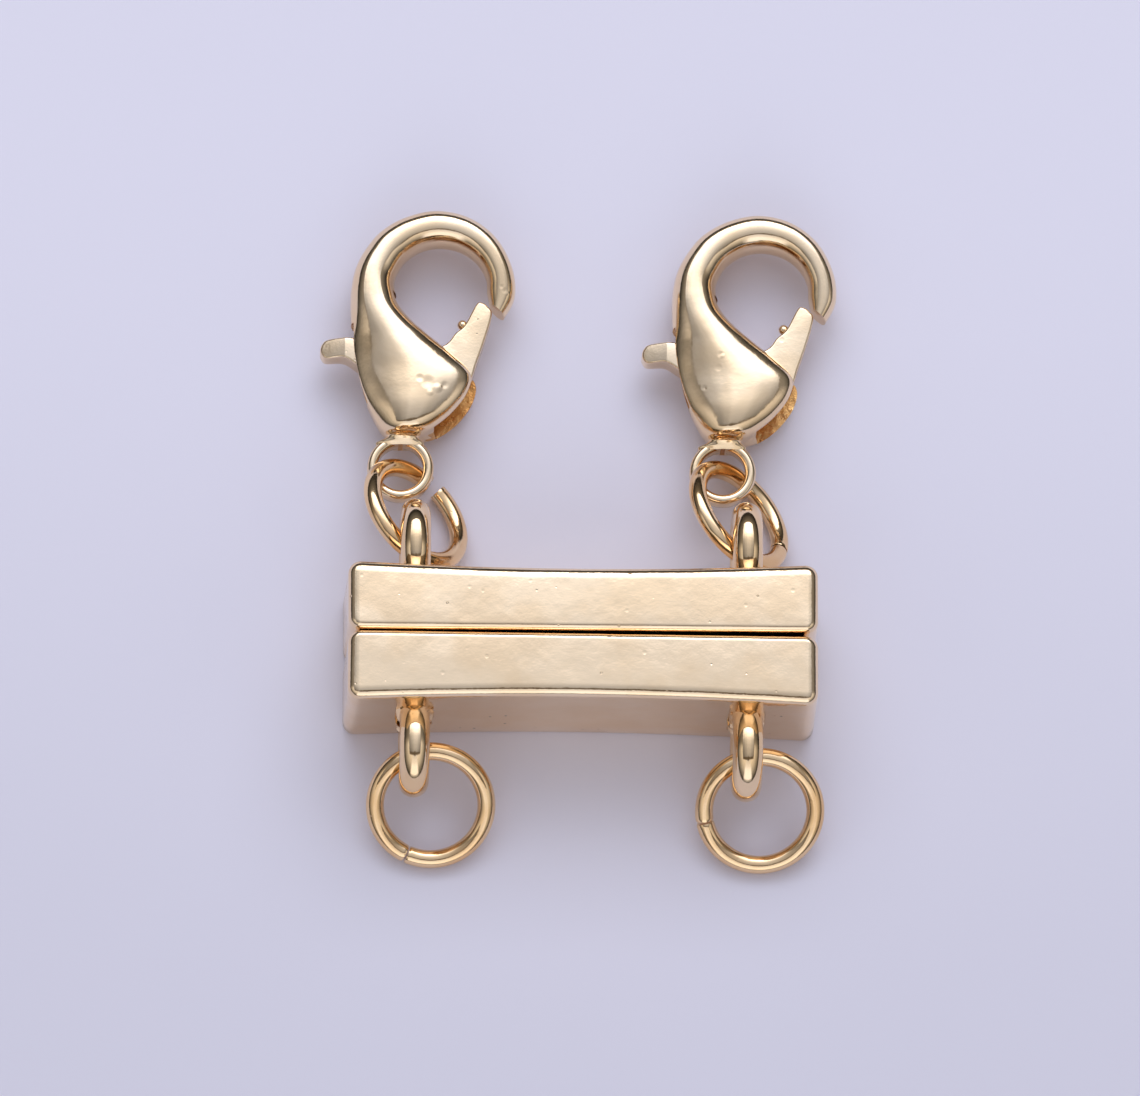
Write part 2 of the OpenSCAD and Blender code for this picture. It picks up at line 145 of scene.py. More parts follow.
def makeStudio():
    world = bpy.data.worlds.new("studio")
    scene.world = world
    world.use_nodes = True
    tree = world.node_tree
    tree.nodes.clear()
    place = addNode(tree, "ShaderNodeTexCoord")
    parts = addNode(tree, "ShaderNodeSeparateXYZ")
    tree.links.new(place.outputs["Generated"], parts.inputs[0])
    x, y, z = parts.outputs
    height = calc(tree, "MAXIMUM", z, 0.02)
    u, v = calc(tree, "DIVIDE", x, height), calc(tree, "DIVIDE", y, height)
    side = calc(tree, "ABSOLUTE", u)

    def box(growSides, growFront):
        soft = studio["boxEdge"]
        edge = studio["boxHalfWidth"] + growSides
        inX = ease(tree, side, edge, edge + soft, 1, 0)
        inFront = ease(tree, v, studio["boxFront"] - growFront - soft, studio["boxFront"] - growFront)
        inBack = ease(tree, v, studio["boxBack"], studio["boxBack"] + 2 * soft, 1, 0)
        return calc(tree, "MULTIPLY", inX, calc(tree, "MULTIPLY", inFront, inBack))

    def scaled(colour, level):
        node = addNode(tree, "ShaderNodeMix", data_type="RGBA", blend_type="MULTIPLY")
        node.inputs[0].default_value = 1.0
        plug(tree, colour, node.inputs[6])
        plug(tree, level, node.inputs[7])
        return node.outputs[2]

    flat = calc(tree, "SQRT", calc(tree, "ADD", calc(tree, "MULTIPLY", x, x), calc(tree, "MULTIPLY", y, y)))
    backward = calc(tree, "DIVIDE", y, calc(tree, "MAXIMUM", flat, 0.01))
    back = ease(tree, backward, studio["backFrom"], studio["backTo"], 1.0, studio["backShare"])
    walls = scaled(scaled(studio["wallColour"], levels(tree, z, studio["wallLevels"])), back)
    window = levels(tree, z, [(place, level / 2) for place, level in studio["windowLevels"]])
    window = scaled(scaled(studio["windowColour"], window), (2, 2, 2, 1))
    inWindow = ease(tree, backward, studio["windowFrom"], studio["windowTo"], 1.0, 0.0)
    walls = blendColour(tree, inWindow, walls, window)
    gapColour = tuple(c * studio["gapLevel"] for c in studio["gapColour"][:3]) + (1,)
    colour = blendColour(tree, box(studio["gapSides"], studio["gapFront"]), walls, gapColour)
    # a ramp holds levels up to 1, so higher ones are lowered for it and raised after
    lowered = [(place, level / 4) for place, level in studio["boxLevels"]]
    lamp = scaled(scaled(studio["boxColour"], levels(tree, v, lowered)), (4, 4, 4, 1))
    fromMiddle = calc(tree, "ABSOLUTE", calc(tree, "SUBTRACT", u, studio["boxMiddle"]))
    lamp = scaled(lamp, levels(tree, fromMiddle, studio["boxSides"]))
    colour = blendColour(tree, box(0.0, 0.0), colour, lamp)
    shadeX = calc(tree, "DIVIDE", calc(tree, "SUBTRACT", u, studio["shadePlace"][0]), studio["shadeSize"][0])
    shadeY = calc(tree, "DIVIDE", calc(tree, "SUBTRACT", v, studio["shadePlace"][1]), studio["shadeSize"][1])
    away = calc(tree, "ADD", calc(tree, "MULTIPLY", shadeX, shadeX), calc(tree, "MULTIPLY", shadeY, shadeY))
    colour = blendColour(tree, ease(tree, away, *studio["shadeEdge"], 1, 0), colour, gapColour)
    glow = addNode(tree, "ShaderNodeBackground")
    tree.links.new(colour, glow.inputs["Color"])
    out = addNode(tree, "ShaderNodeOutputWorld")
    tree.links.new(glow.outputs[0], out.inputs[0])
    scene.view_settings.view_transform = "Standard"

    mesh = bpy.data.meshes.new("table")
    reach = studio["tableReach"]
    corners = [(-reach, -reach, 0), (reach, -reach, 0), (reach, reach, 0), (-reach, reach, 0)]
    mesh.from_pydata(corners, [], [(0, 1, 2, 3)])
    table = bpy.data.objects.new("table", mesh)
    scene.collection.objects.link(table)
    table.data.materials.append(tableMaterial())


tableLook = {
    "blotchScale": 60, "grainScale": 2500, "bumpStrength": 0.25, "bumpDistance": 0.00002,
    "roughness": 0.75, "specular": 0.25,
}


def tableMaterial():
    material = bpy.data.materials.new("paleTable")
    material.use_nodes = True
    tree = material.node_tree
    shader = tree.nodes["Principled BSDF"]
    place = addNode(tree, "ShaderNodeTexCoord")
    blotch = addNode(tree, "ShaderNodeTexNoise")
    blotch.inputs["Scale"].default_value = tableLook["blotchScale"]
    blotch.inputs["Detail"].default_value = 3
    tree.links.new(place.outputs["Object"], blotch.inputs["Vector"])
    tint = blendColour(tree, blotch.outputs["Fac"], studio["tableColour"], studio["tableColour2"])
    parts = addNode(tree, "ShaderNodeSeparateXYZ")
    tree.links.new(place.outputs["Object"], parts.inputs[0])
    # painted shade: the table's colour is darkened towards the front, in place of light falling off away from
    # the soft box
    paintedShade = ease(tree, parts.outputs[1], studio["tableShadeFrom"], studio["tableShadeTo"], studio["tablePaintedShade"], 1.0)
    shade = addNode(tree, "ShaderNodeMix", data_type="RGBA", blend_type="MULTIPLY")
    shade.inputs[0].default_value = 1.0
    tree.links.new(tint, shade.inputs[6])
    tree.links.new(paintedShade, shade.inputs[7])
    tree.links.new(shade.outputs[2], shader.inputs["Base Color"])
    grain = addNode(tree, "ShaderNodeTexNoise")
    grain.inputs["Scale"].default_value = tableLook["grainScale"]
    tree.links.new(place.outputs["Object"], grain.inputs["Vector"])
    bump = addNode(tree, "ShaderNodeBump")
    bump.inputs["Strength"].default_value = tableLook["bumpStrength"]
    bump.inputs["Distance"].default_value = tableLook["bumpDistance"]
    tree.links.new(grain.outputs["Fac"], bump.inputs["Height"])
    tree.links.new(bump.outputs["Normal"], shader.inputs["Normal"])
    shader.inputs["Roughness"].default_value = tableLook["roughness"]
    shader.inputs["Specular IOR Level"].default_value = tableLook["specular"]
    return material


makeStudio()
print("camera and studio made")

# Finishes. Sizes of the relief are in millimetres: peel is the soft unevenness of the plating,
# pits are round pinholes, scattered by a share of a grid's cells.
finishes = {
    "barGold": {
        "light": (0.935, 0.725, 0.49, 1), "deep": (0.905, 0.675, 0.43, 1), "roughness": (0.07, 0.15),
        "peelSize": 1.5, "peelDepth": 0.03, "creaseSize": 0.36, "creaseDepth": 0.0075,
        "grainSize": 0.1, "grainDepth": 0.0007, "pitSpacing": 0.62, "pitRadius": 0.062,
        "pitDepth": 0.02, "pitShare": 0.5, "dimpleSpacing": 0.8,
        "dimpleRadius": 0.11, "dimpleDepth": 0.005, "dimpleShare": 0.4,
    },
    "loopGold": {
        "light": (0.93, 0.7, 0.445, 1), "deep": (0.89, 0.63, 0.36, 1), "roughness": (0.06, 0.12),
        "peelSize": 0.7, "peelDepth": 0.006, "creaseSize": 0.3, "creaseDepth": 0.0016,
        "grainSize": 0.09, "grainDepth": 0.0006, "pitSpacing": 0.5, "pitRadius": 0.04,
        "pitDepth": 0.008, "pitShare": 0.2, "dimpleSpacing": 1.0,
        "dimpleRadius": 0.14, "dimpleDepth": 0.004, "dimpleShare": 0.3,
    },
    "clawGold": {
        "light": (0.93, 0.72, 0.485, 1), "deep": (0.9, 0.67, 0.42, 1), "roughness": (0.09, 0.17),
        "peelSize": 1.8, "peelDepth": 0.026, "creaseSize": 0.45, "creaseDepth": 0.0045,
        "grainSize": 0.12, "grainDepth": 0.0008, "pitSpacing": 0.8, "pitRadius": 0.045,
        "pitDepth": 0.012, "pitShare": 0.3, "dimpleSpacing": 1.3,
        "dimpleRadius": 0.2, "dimpleDepth": 0.005, "dimpleShare": 0.25,
    },
    # rough cast gold for the slot, the eye's hole and part of a lower cheek; its dark orange colour is
    # painted shade and painted reflection of gold on gold in these hollows
    "castGoldPaintedShade": {
        "light": (0.86, 0.52, 0.21, 1), "deep": (0.56, 0.25, 0.07, 1), "roughness": (0.22, 0.45),
        "peelSize": 0.5, "peelDepth": 0.05, "creaseSize": 0.16, "creaseDepth": 0.03,
        "grainSize": 0.07, "grainDepth": 0.004, "pitSpacing": 0.3, "pitRadius": 0.07,
        "pitDepth": 0.02, "pitShare": 0.4, "dimpleSpacing": 0.6,
        "dimpleRadius": 0.15, "dimpleDepth": 0.02, "dimpleShare": 0.4,
    },
    "leverGold": {
        "light": (0.94, 0.74, 0.51, 1), "deep": (0.9, 0.68, 0.44, 1), "roughness": (0.14, 0.26),
        "peelSize": 0.9, "peelDepth": 0.012, "creaseSize": 0.22, "creaseDepth": 0.0042,
        "grainSize": 0.1, "grainDepth": 0.0016, "pitSpacing": 0.35, "pitRadius": 0.045,
        "pitDepth": 0.012, "pitShare": 0.4, "dimpleSpacing": 0.8,
        "dimpleRadius": 0.14, "dimpleDepth": 0.005, "dimpleShare": 0.3,
    },
    "wireGold": {
        "light": (0.91, 0.645, 0.375, 1), "deep": (0.84, 0.54, 0.275, 1), "roughness": (0.08, 0.16),
        "peelSize": 0.8, "peelDepth": 0.01, "creaseSize": 0.26, "creaseDepth": 0.0022,
        "grainSize": 0.1, "grainDepth": 0.001, "pitSpacing": 0.4, "pitRadius": 0.04,
        "pitDepth": 0.006, "pitShare": 0.3, "dimpleSpacing": 0.9,
        "dimpleRadius": 0.12, "dimpleDepth": 0.004, "dimpleShare": 0.25,
    },
}
# the plating's change of tone and wear, the same on every gold
plating = {"toneSize": 2.2, "toneEdge": (0.36, 0.64), "wearSize": 0.9, "wearEdge": (0.3, 0.75)}
# dark specks of the plating, low on the bars' sides
speck = {"spacing": 0.6, "radius": 0.075, "share": 0.26, "high": 3.9, "colour": (0.10, 0.07, 0.05, 1)}
# bruises of the two claws: x, y, radius, depth
bruises = {
    "left": ((-6.10, 9.45, 0.34, 0.022), (-5.72, 9.22, 0.24, -0.020), (-6.42, 9.62, 0.20, 0.016),
             (-5.42, 9.36, 0.20, 0.016), (-6.02, 9.02, 0.18, -0.012), (-3.00, 13.48, 0.16, 0.014),
             (-2.84, 13.36, 0.12, -0.010), (-3.14, 13.64, 0.12, 0.010)),
    "right": ((5.60, 10.74, 0.17, 0.010), (5.66, 10.69, 0.14, -0.010), (4.95, 9.40, 0.16, 0.006)),
}


def noiseAt(tree, place, size, detail=2.0, rough=0.5):
    node = addNode(tree, "ShaderNodeTexNoise")
    node.inputs["Scale"].default_value = 1.0 / (size * mm)
    node.inputs["Detail"].default_value = detail
    node.inputs["Roughness"].default_value = rough
    tree.links.new(place, node.inputs["Vector"])
    return node.outputs["Fac"]


def dotsAt(tree, place, spacing, radius, share):  # 1 inside a round dot, 0 outside
    cells = addNode(tree, "ShaderNodeTexVoronoi")
    cells.inputs["Scale"].default_value = 1.0 / (spacing * mm)
    tree.links.new(place, cells.inputs["Vector"])
    edge = radius / spacing
    dot = ease(tree, cells.outputs["Distance"], edge * 0.3, edge, 1.0, 0.0)
    parts = addNode(tree, "ShaderNodeSeparateColor")
    tree.links.new(cells.outputs["Color"], parts.inputs[0])
    return calc(tree, "MULTIPLY", dot, calc(tree, "LESS_THAN", parts.outputs[0], share))


def bruisesAt(tree, place, dents):  # height in millimetres of a few shallow dents
    parts = addNode(tree, "ShaderNodeSeparateXYZ")
    tree.links.new(place, parts.inputs[0])
    height = 0.0
    for x, y, radius, depth in dents:
        offX = calc(tree, "SUBTRACT", parts.outputs[0], x * mm)
        offY = calc(tree, "SUBTRACT", parts.outputs[1], y * mm)
        squares = calc(tree, "POWER", offX, 2.0), calc(tree, "POWER", offY, 2.0)
        away = calc(tree, "SQRT", calc(tree, "ADD", *squares))
        height = calc(tree, "ADD", height, ease(tree, away, 0.0, radius * mm, -depth, 0.0))
    return height


def bumpOn(tree, height, depth, under=None):
    node = addNode(tree, "ShaderNodeBump")
    node.inputs["Distance"].default_value = depth * mm
    tree.links.new(height, node.inputs["Height"])
    if under is not None:
        tree.links.new(under, node.inputs["Normal"])
    return node.outputs["Normal"]


def goldMaterial(name, look, dents=(), specked=False):
    material = bpy.data.materials.new(name)
    material.use_nodes = True
    tree = material.node_tree
    shader = tree.nodes["Principled BSDF"]
    shader.inputs["Metallic"].default_value = 1.0
    place = addNode(tree, "ShaderNodeTexCoord").outputs["Object"]
    tone = ease(tree, noiseAt(tree, place, plating["toneSize"], 3), *plating["toneEdge"])
    colour = blendColour(tree, tone, look["light"], look["deep"])
    if specked:
        parts = addNode(tree, "ShaderNodeSeparateXYZ")
        tree.links.new(place, parts.inputs[0])
        low = calc(tree, "LESS_THAN", parts.outputs[2], speck["high"] * mm)
        spots = dotsAt(tree, place, speck["spacing"], speck["radius"], speck["share"])
        spots = calc(tree, "MULTIPLY", low, spots)
        colour = blendColour(tree, spots, colour, speck["colour"])
    tree.links.new(colour, shader.inputs["Base Color"])
    wear = noiseAt(tree, place, plating["wearSize"], 4, 0.6)
    rough = ease(tree, wear, *plating["wearEdge"], *look["roughness"])
    tree.links.new(rough, shader.inputs["Roughness"])
    relief = bumpOn(tree, noiseAt(tree, place, look["peelSize"], 1.0), look["peelDepth"])
    relief = bumpOn(tree, noiseAt(tree, place, look["creaseSize"], 3.0, 0.6), look["creaseDepth"], relief)
    relief = bumpOn(tree, noiseAt(tree, place, look["grainSize"], 2.0), look["grainDepth"], relief)
    for kind in ("dimple", "pit"):
        dots = dotsAt(tree, place, look[kind + "Spacing"], look[kind + "Radius"], look[kind + "Share"])
        relief = bumpOn(tree, calc(tree, "MULTIPLY", dots, -1.0), look[kind + "Depth"], relief)
    if dents:
        relief = bumpOn(tree, bruisesAt(tree, place, dents), 1.0, relief)
    tree.links.new(relief, shader.inputs["Normal"])
    return material


gold = {name: goldMaterial(name, finishes[name], specked=name == "barGold") for name in finishes}
for side in ("left", "right"):
    gold[side + "ClawGold"] = goldMaterial(side + "ClawGold", finishes["clawGold"], bruises[side])


magnetLook = {
    "light": (0.62, 0.62, 0.61, 1), "deep": (0.54, 0.53, 0.52, 1), "roughness": (0.2, 0.34),
    "toneSize": 0.9, "toneEdge": (0.3, 0.7), "grainSize": 0.12, "grainDepth": 0.004,
}


def magnetMaterial():
    material = bpy.data.materials.new("magnetNickel")
    material.use_nodes = True
    tree = material.node_tree
    shader = tree.nodes["Principled BSDF"]
    shader.inputs["Metallic"].default_value = 1.0
    place = addNode(tree, "ShaderNodeTexCoord").outputs["Object"]
    tone = noiseAt(tree, place, magnetLook["toneSize"], 3)
    colour = blendColour(tree, tone, magnetLook["light"], magnetLook["deep"])
    tree.links.new(colour, shader.inputs["Base Color"])
    rough = ease(tree, tone, *magnetLook["toneEdge"], *magnetLook["roughness"])
    tree.links.new(rough, shader.inputs["Roughness"])
    grain = noiseAt(tree, place, magnetLook["grainSize"], 2)
    tree.links.new(bumpOn(tree, grain, magnetLook["grainDepth"]), shader.inputs["Normal"])
    return material


nickel = magnetMaterial()
for node in ("upper_magnet_left", "upper_magnet_right", "lower_magnet_left", "lower_magnet_right"):
    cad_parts[node].data.materials[0] = nickel
for node in ("claw_rivet_left", "claw_rivet_right"):
    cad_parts[node].data.materials[0] = gold["clawGold"]
print("finishes made")


# Meshes

def dressMesh(name, mesh, materials, body, node, sharpAngle=35):
    mesh.validate()
    marks = [0] * len(mesh.polygons)
    mesh.polygons.foreach_get("material_index", marks)
    mesh.materials.clear()
    for material in materials:
        mesh.materials.append(gold[material])
    mesh.polygons.foreach_set("material_index", [min(mark, len(materials) - 1) for mark in marks])
    mesh.shade_smooth()
    mesh.set_sharp_from_angle(angle=math.radians(sharpAngle))
    piece = bpy.data.objects.new(name, mesh)
    scene.collection.objects.link(piece)
    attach(piece, body)
    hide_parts(node)


def skinFaces(rings, around, closed=False):
    count = rings if closed else rings - 1
    faces = []
    for j in range(count):
        a, b = j * around, (j + 1) % rings * around
        for i in range(around):
            k = (i + 1) % around
            faces.append((a + i, a + k, b + k, b + i))
    return faces


bar = {
    "length": 18.8, "depth": 2.88, "height": 5.8, "footEdge": 0.22, "corner": 0.5,
    "edgeStart": 5.46, "steepRadius": 0.36, "softRadius": 0.62, "softTilt": 28.0, "topTilt": 1.5,
    "draft": 0.1, "waist": 0.22, "crownWidth": 0.72, "sharp": 0.06, "mateShare": 0.6, "mateOut": 0.02,
    "topLean": 0.8, "leanSpan": 0.39, "footSteps": 4,
    "seam": 0.06, "skew": 0.3, "sideSteps": 60, "cornerSteps": 8, "steepSteps": 7, "softSteps": 7,
    "acrossSteps": 12, "wallSteps": 5,
    "magnetEnd": 4.4, "magnetWidth": 4.06, "magnetDepth": 1.56, "pocketExtra": 1.0,
}
loop = {
    "end": 2.8, "outer": 4.0, "wire": 1.2, "stand": 1.15, "height": 2.8,
    "solderProud": 0.12, "solderRun": 0.5, "around": 48, "along": 180, "halfSweep": 170.0,
    "coarseWaves": (1.6, 2.5), "fineWaves": (4, 9), "fineShare": 0.6,
    "runUneven": 0.25, "proudUneven": 0.7, "flareRise": 2.5,
}
upperMid = bar["seam"] / 2 + bar["depth"] / 2
loopX = bar["length"] / 2 - loop["end"]
loopY = bar["seam"] / 2 + bar["depth"] + loop["stand"]


def barRing(z, inset):  # grid border at one level: mating side, right end, outer side, left end
    lean = bar["draft"] * z / bar["height"]
    radius = max(bar["corner"] - inset, bar["sharp"])
    shift = max(inset + bar["sharp"] - bar["corner"], 0)
    midX = bar["length"] / 2 - lean - bar["corner"]
    mate = inset * bar["mateShare"] - bar["mateOut"]
    lowY, highY = bar["corner"] - inset + mate, bar["depth"] - lean - bar["corner"]
    n, m, s = bar["cornerSteps"], bar["acrossSteps"], bar["sideSteps"]

    def corner(cx, cy, fromAngle, toAngle):
        cx -= math.copysign(shift, cx)
        cy += shift if cy < bar["depth"] / 2 else -shift
        angles = [math.radians(fromAngle + (toAngle - fromAngle) * i / n) for i in range(n + 1)]
        return [(cx + radius * math.cos(a), cy + radius * math.sin(a)) for a in angles]

    xs = [midX * (2 * i / s - 1) for i in range(1, s)]
    straightY = bar["depth"] - lean - inset
    low = corner(-midX, lowY, 180, 270) + [(x, mate) for x in xs] + corner(midX, lowY, 270, 360)
    high = corner(-midX, highY, 180, 90)
    high += [(x, straightY - bar["waist"] * (1 - (x / midX) ** 2)) for x in xs]
    high += corner(midX, highY, 90, 0)

    def across(p, q):
        return [(p[0] + (q[0] - p[0]) * j / m, p[1] + (q[1] - p[1]) * j / m) for j in range(1, m)]

    ring = low + across(low[-1], high[-1]) + high[::-1] + across(high[0], low[0])
    return [(x, y, z) for x, y in ring], low, high


def topEdge():  # a steep arc, then a softer one; tilt is the surface's slope from level
    z, inset = bar["edgeStart"], 0.0
    rows = [(z, inset)]
    for radius, start, end, steps in ((bar["steepRadius"], 90.0, bar["softTilt"], bar["steepSteps"]),
                                      (bar["softRadius"], bar["softTilt"], bar["topTilt"], bar["softSteps"])):
        for i in range(steps):
            a, b = (math.radians(start + (end - start) * k / steps) for k in (i, i + 1))
            z += radius * (math.cos(b) - math.cos(a))
            inset += radius * (math.sin(a) - math.sin(b))
            rows.append((z, inset))
    return rows


def barMesh():
    foot = bar["footEdge"]
    angles = [math.radians(90 * i / bar["footSteps"]) for i in range(bar["footSteps"] + 1)]
    rows = [(foot * (1 - math.cos(a)), foot * (1 - math.sin(a))) for a in angles]
    top = bar["edgeStart"]
    rows += [(foot + (top - foot) * i / bar["wallSteps"], 0.0) for i in range(1, bar["wallSteps"])]
    rows += topEdge()
    points, m = [], bar["acrossSteps"]
    for z, inset in rows:
        points += barRing(z, inset)[0]
    around = len(points) // len(rows)
    faces = skinFaces(len(rows), around)

    def cap(ringStart, low, high, z, upwards):
        columns = len(low)
        rise = math.tan(math.radians(bar["topTilt"])) * bar["crownWidth"] / 2 if upwards else 0.0
        endX = low[-1][0]

        def swell(distance):
            t = min(distance / bar["crownWidth"], 1.0)
            return 1 - (1 - t) ** 2

        border = {}
        order = [(k, 0) for k in range(columns)] + [(columns - 1, j) for j in range(1, m)]
        order += [(k, m) for k in range(columns - 1, -1, -1)] + [(0, j) for j in range(m - 1, 0, -1)]
        for index, key in enumerate(order):
            border[key] = ringStart + index
        for k in range(1, columns - 1):
            p, q = low[k], high[k]
            width = math.hypot(q[0] - p[0], q[1] - p[1])
            for j in range(1, m):
                t = 0.5 - 0.5 * math.cos(math.pi * j / m)
                x, y = p[0] + (q[0] - p[0]) * t, p[1] + (q[1] - p[1]) * t
                border[(k, j)] = len(points)
                points.append((x, y, z + rise * swell(min(t, 1 - t) * width) * swell(max(endX - abs(x), 0))))
        for k in range(columns - 1):
            for j in range(m):
                quad = [border[(k, j)], border[(k + 1, j)], border[(k + 1, j + 1)], border[(k, j + 1)]]
                faces.append(tuple(quad if upwards else quad[::-1]))

    zTop, insetTop = rows[-1]
    _, low, high = barRing(zTop, insetTop)
    cap((len(rows) - 1) * around, low, high, zTop, True)
    _, low, high = barRing(*rows[0])
    cap(0, low, high, rows[0][0], False)
    lean = math.tan(math.radians(bar["topLean"]))

    def leant(x, y, z):
        return (x, y, z - max(z - bar["edgeStart"], 0) / bar["leanSpan"] * lean * (y - bar["depth"] / 2))

    return [leant(*p) for p in points], faces


def loopMesh(x, seed):  # a ring of wire standing in the outer face, flared where the solder holds it
    mean = (loop["outer"] - loop["wire"]) / 2
    cy = bar["depth"] + loop["stand"]
    endShare = x / (bar["length"] / 2 - bar["corner"])
    faceY = bar["depth"] - bar["draft"] / 2 - bar["waist"] * (1 - endShare ** 2)
    entry = math.acos(max(-1, (faceY - cy) / mean))
    sweep = math.radians(loop["halfSweep"])

    def waves(a, b, across, along):
        return noise.noise(Vector((math.cos(b) * across + seed, math.sin(b) * across, a * along)))

    points = []
    for j in range(loop["along"] + 1):
        a = -sweep + 2 * sweep * j / loop["along"]
        run = (entry - abs(a)) * mean  # distance of this section from the bar's face along the wire
        for i in range(loop["around"]):
            b = 2 * math.pi * i / loop["around"]
            crinkle = waves(a, b, *loop["coarseWaves"]) + loop["fineShare"] * waves(a, b, *loop["fineWaves"])
            reach = loop["solderRun"] * (1 + loop["runUneven"] * crinkle)
            flare = min(max(1 - max(run, 0) / reach, 0.0) * loop["flareRise"], 1.0)
            r = loop["wire"] / 2 + loop["solderProud"] * flare * (1 + loop["proudUneven"] * crinkle)
            out = mean + r * math.cos(b)
            points.append((x + r * math.sin(b), cy + out * math.cos(a), loop["height"] + out * math.sin(a)))
    faces = skinFaces(loop["along"] + 1, loop["around"])
    last = loop["along"] * loop["around"]
    faces.append(tuple(range(loop["around"] - 1, -1, -1)))
    faces.append(tuple(range(last, last + loop["around"])))
    return points, faces


def placeUpper(p):
    return (p[0], p[1] + bar["seam"] / 2 - upperMid, p[2])


def placeLower(p):
    a = math.radians(-bar["skew"])
    x, y = p[0] + bar["length"] / 2, -p[1]
    return (x * math.cos(a) - y * math.sin(a) - bar["length"] / 2,
            x * math.sin(a) + y * math.cos(a) - bar["seam"] / 2 - upperMid, p[2])


def outwards(mesh):
    work = bmesh.new()
    work.from_mesh(mesh)
    bmesh.ops.recalc_face_normals(work, faces=work.faces)
    work.to_mesh(mesh)
    work.free()


def cutMesh(mesh, cutter, operation="DIFFERENCE"):
    base = bpy.data.objects.new("cutBase", mesh)
    tool = bpy.data.objects.new("cutTool", cutter)
    for o in (base, tool):
        scene.collection.objects.link(o)
    cut = base.modifiers.new("cut", "BOOLEAN")
    cut.operation, cut.object, cut.solver = operation, tool, "EXACT"
    done = bpy.data.meshes.new_from_object(base.evaluated_get(bpy.context.evaluated_depsgraph_get()))
    bpy.data.objects.remove(base)
    bpy.data.objects.remove(tool)
    return done


def makeBar(name, placePoint, node, body, seed):
    points, faces = barMesh()
    mesh = bpy.data.meshes.new("barShell")
    mesh.from_pydata([Vector(placePoint(p)) * mm for p in points], [], faces)
    outwards(mesh)
    pockets = bmesh.new()
    radius, extra = bar["magnetWidth"] / 2, bar["pocketExtra"]
    for side in (-1, 1):
        middle = Vector((side * (bar["length"] / 2 - bar["magnetEnd"]), (bar["magnetDepth"] - extra) / 2,
                         bar["height"] / 2))
        turn = Matrix.Rotation(math.radians(90), 4, "X")
        made = bmesh.ops.create_cone(pockets, cap_ends=True, segments=64, radius1=radius, radius2=radius,
                                     depth=bar["magnetDepth"] + extra, matrix=turn)
        for vertex in made["verts"]:
            vertex.co = Vector(placePoint(vertex.co + middle)) * mm
    cutter = bpy.data.meshes.new("pockets")
    bmesh.ops.recalc_face_normals(pockets, faces=pockets.faces)
    pockets.to_mesh(cutter)
    pockets.free()
    mesh = cutMesh(mesh, cutter)
    piece = bmesh.new()
    piece.from_mesh(mesh)
    for face in piece.faces:
        face.material_index = 0
    for side in (-1, 1):
        loopPoints, loopFaces = loopMesh(side * loopX, seed + side)
        made = bpy.data.meshes.new("loopShell")
        made.from_pydata([Vector(placePoint(p)) * mm for p in loopPoints], [], loopFaces)
        outwards(made)
        before = len(piece.faces)
        piece.from_mesh(made)
        piece.faces.ensure_lookup_table()
        for face in piece.faces[before:]:
            face.material_index = 1
    whole = bpy.data.meshes.new(name)
    piece.to_mesh(whole)
    piece.free()
    dressMesh(name, whole, ("barGold", "loopGold"), body, node)


makeBar("upperBar", placeUpper, "upper_bar", "upper_half", 3.0)
makeBar("lowerBar", placeLower, "lower_bar", "lower_half", 7.0)
print("bars made")

# Jump rings: one tree sweeps a wire round a cut circle
ring = {
    "outer": 5.15, "wire": 0.72, "split": 0.08, "gape": 0.5, "slack": 0.05, "restGap": 0.01, "pullAt": 30.0,
    "along": 220, "around": 28, "nipRun": 0.006, "nipShare": 0.93,
    "lower": {"lower_ring_left": (-1, 0.72, 115), "lower_ring_right": (1, 0.6, 168)},
    "upper": {"upper_ring_left": (-1, (-0.7, 0.66), (-0.23, 0.135), 0.974, -42, 56),
              "upper_ring_right": (1, (-0.8, 0.445), (-0.11, 0.31), 0.992, -46, -26)},
}
claw = {
    "length": 12.0, "width": 6.58, "thick": 3.0, "left": 0.72, "inward": 0.16,
    "eyeOuter": 2.66, "eyeHole": 1.84, "eyeThick": 0.85, "slot": 1.4, "leverClear": 0.1,
}
ringMean = (ring["outer"] - ring["wire"]) / 2
loopPlay = loop["outer"] / 2 - loop["wire"] - ring["wire"] / 2 - ring["slack"]
eyePlay = claw["eyeHole"] / 2 - ring["wire"] / 2 - ring["slack"]


